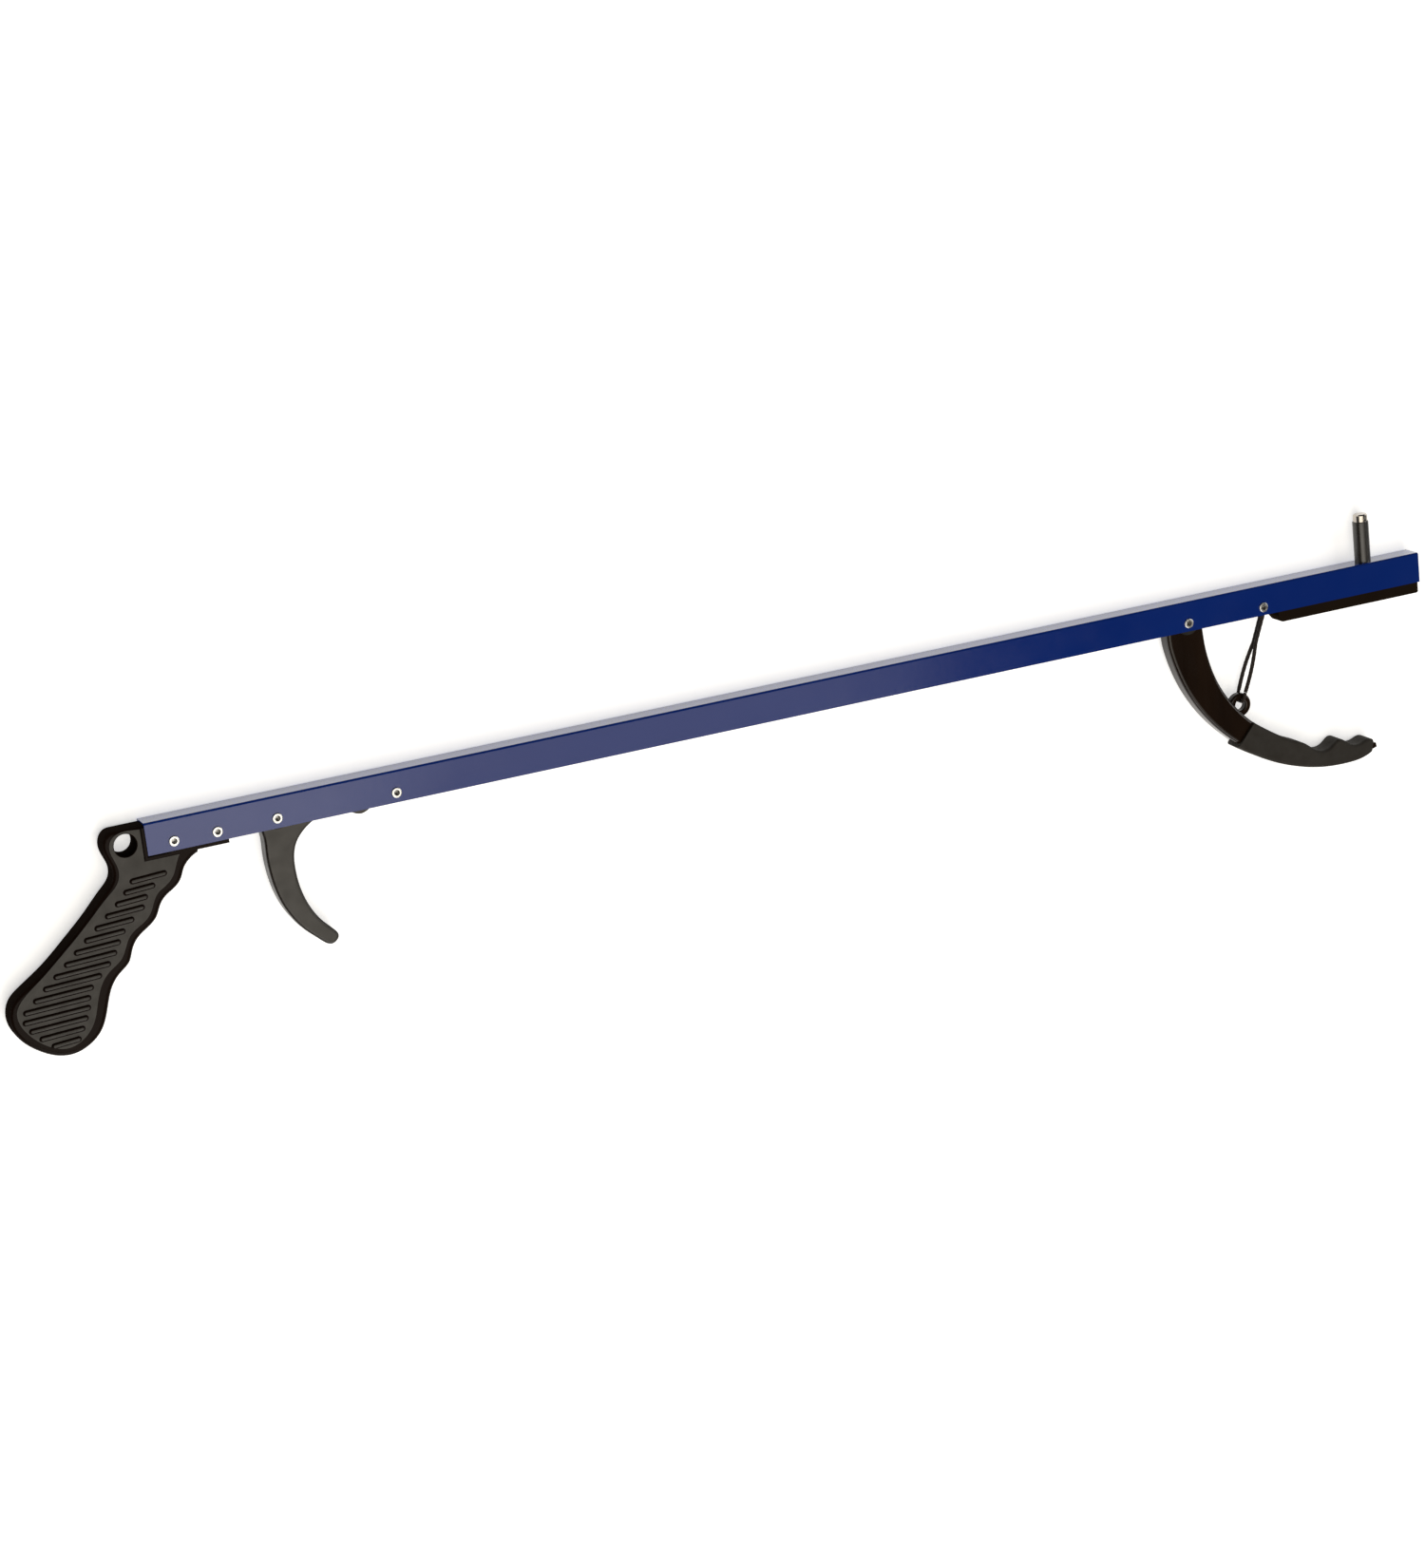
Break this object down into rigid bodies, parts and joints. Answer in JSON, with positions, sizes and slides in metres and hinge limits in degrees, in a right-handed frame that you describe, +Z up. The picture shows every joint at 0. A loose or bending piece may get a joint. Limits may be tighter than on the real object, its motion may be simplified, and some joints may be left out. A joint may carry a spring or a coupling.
{
  "type": "reacher grabber",
  "caption": "Long-handled reaching aid: a pistol grip and squeeze trigger pull a cord that shuts a curved rubber-sleeved jaw against a pad; a magnet stands near the tip.",
  "frame": {"origin": "bottom centre of the whole tool's box as it lies on its side", "axes": "+X along the tube from the grip to the jaw, +Y across the tube from its open underside to its closed top, +Z up, out of the side that shows the rolled rivet ends"},
  "size_m": [0.7826, 0.1326, 0.014],
  "materials": {
    "blue_paint": "glossy enamel with a slight orange peel",
    "grip_plastic": "spark-eroded texture on the panel, smooth rim",
    "lever_plastic": "satin moulded",
    "gloss_black_plastic": "polished moulded",
    "black_nylon": "plain moulded",
    "white_nylon": "natural nylon",
    "rivet_steel": "bright plated, rolled ends",
    "spring_steel": "drawn wire",
    "screw_steel": "zinc plated",
    "pad_rubber": "moulded, matte",
    "sleeve_rubber": "dipped, matte",
    "post_plastic": "smooth tube",
    "magnet_nickel": "nickel plated, chamfered",
    "braided_cord": "braided, waxed"
  },
  "bodies": {
    "frame": {"channel": "blue_paint", "handle_grip": "grip_plastic", "handle_rivets": "rivet_steel", "trigger_pivot_rivet": "rivet_steel", "trigger_pivot_washers": "black_nylon", "rear_roller_rivet": "rivet_steel", "jaw_pivot_rivet": "rivet_steel", "jaw_pivot_washers": "black_nylon", "jaw_return_spring": "spring_steel", "front_roller_rivet": "rivet_steel", "anvil_pad": "pad_rubber", "magnet_post": "post_plastic", "tip_magnet": "magnet_nickel", "magnet_screw": "screw_steel", "cord_run": "braided_cord"},
    "trigger": {"trigger": "lever_plastic"},
    "tail": {"cord_tail": "braided_cord", "cord_trigger_loop": "braided_cord", "cord_knot": "braided_cord"},
    "rear_roller": {"rear_cord_roller": "white_nylon"},
    "front_roller": {"front_cord_roller": "white_nylon"},
    "jaw": {"jaw_arm": "gloss_black_plastic", "jaw_sleeve": "sleeve_rubber", "cord_jaw_loop": "braided_cord"},
    "front_cord": {"cord_front_strands": "braided_cord"}
  },
  "joints": [
    {"name": "trigger_squeeze", "type": "hinge", "parent": "frame", "child": "trigger", "pos_m": [-0.25055, 0.02941, 0.007], "axis": [0, 0, -1], "range_deg": [0, 50], "stiffness_Nm_per_rad": 0.03, "springref_deg": -5.73},
    {"name": "jaw_close", "type": "hinge", "parent": "frame", "child": "jaw", "pos_m": [0.24885, 0.02881, 0.007], "axis": [0, 0, 1], "range_deg": [0, 33.5], "deforming": ["jaw_return_spring"]},
    {"name": "cord_tail_swing", "type": "hinge", "parent": "trigger", "child": "tail", "pos_m": [-0.20755, 0.03351, 0.007], "axis": [0, 0, 1], "range_deg": [0, 100], "deforming": ["cord_tail"]},
    {"name": "cord_front_swing", "type": "hinge", "parent": "frame", "child": "front_cord", "pos_m": [0.29415, 0.02881, 0.007], "axis": [0, 0, 1], "range_deg": [0, 31], "deforming": ["cord_front_strands"]},
    {"name": "rear_roller_spin", "type": "hinge", "parent": "frame", "child": "rear_roller", "pos_m": [-0.19045, 0.02941, 0.007], "axis": [0, 0, 1], "range_deg": [0, 540]},
    {"name": "front_roller_spin", "type": "hinge", "parent": "frame", "child": "front_roller", "pos_m": [0.29415, 0.02881, 0.007], "axis": [0, 0, 1], "range_deg": [0, 540]}
  ],
  "couplings": [
    {"joint": "jaw_close", "follows": "trigger_squeeze", "ratio": 0.67},
    {"joint": "cord_tail_swing", "follows": "trigger_squeeze", "ratio": 2},
    {"joint": "cord_front_swing", "follows": "trigger_squeeze", "ratio": 0.62},
    {"joint": "rear_roller_spin", "follows": "trigger_squeeze", "ratio": 10.8},
    {"joint": "front_roller_spin", "follows": "trigger_squeeze", "ratio": 10.8}
  ]
}
